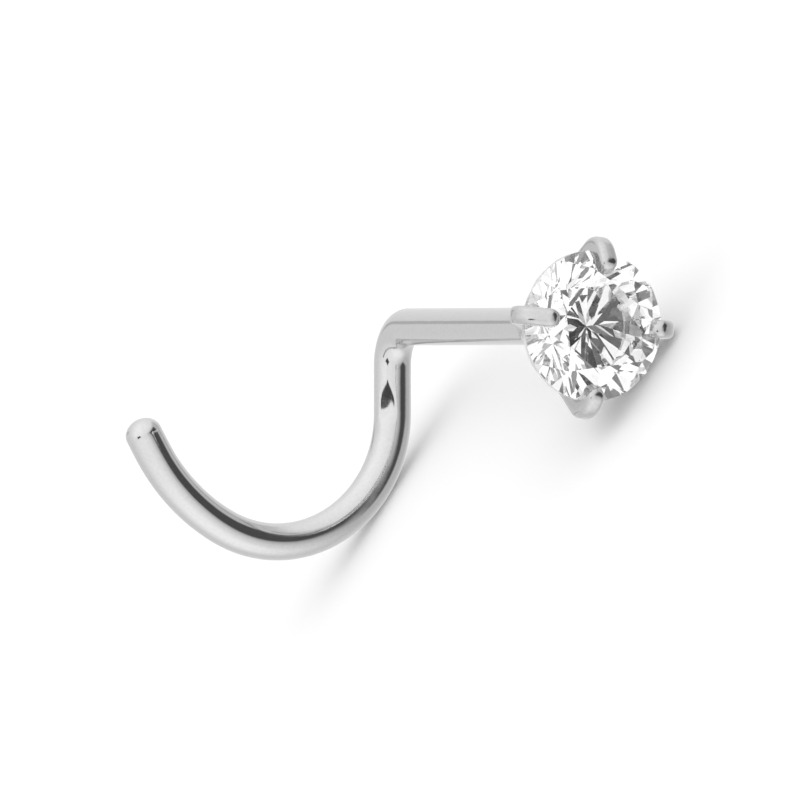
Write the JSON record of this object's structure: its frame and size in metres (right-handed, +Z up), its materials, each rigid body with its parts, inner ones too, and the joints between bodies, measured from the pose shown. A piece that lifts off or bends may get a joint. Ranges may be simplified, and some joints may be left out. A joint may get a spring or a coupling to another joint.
{
  "type": "nose stud",
  "caption": "Nose screw of round wire: a straight post bent into a half-round hook with a domed tip, and a claw head that holds a clear round brilliant stone.",
  "frame": {"origin": "bottom centre of the stud's box as it lies on a surface", "axes": "+X runs along the post towards the stone's table, +Z up from the surface that the stud lies on"},
  "size_m": [0.0082, 0.006, 0.0044],
  "materials": {
    "white_metal": "polished stainless steel",
    "clear_stone": "cut and polished"
  },
  "bodies": {
    "root": {"post_and_setting": "white_metal", "stone": "clear_stone"}
  },
  "joints": []
}
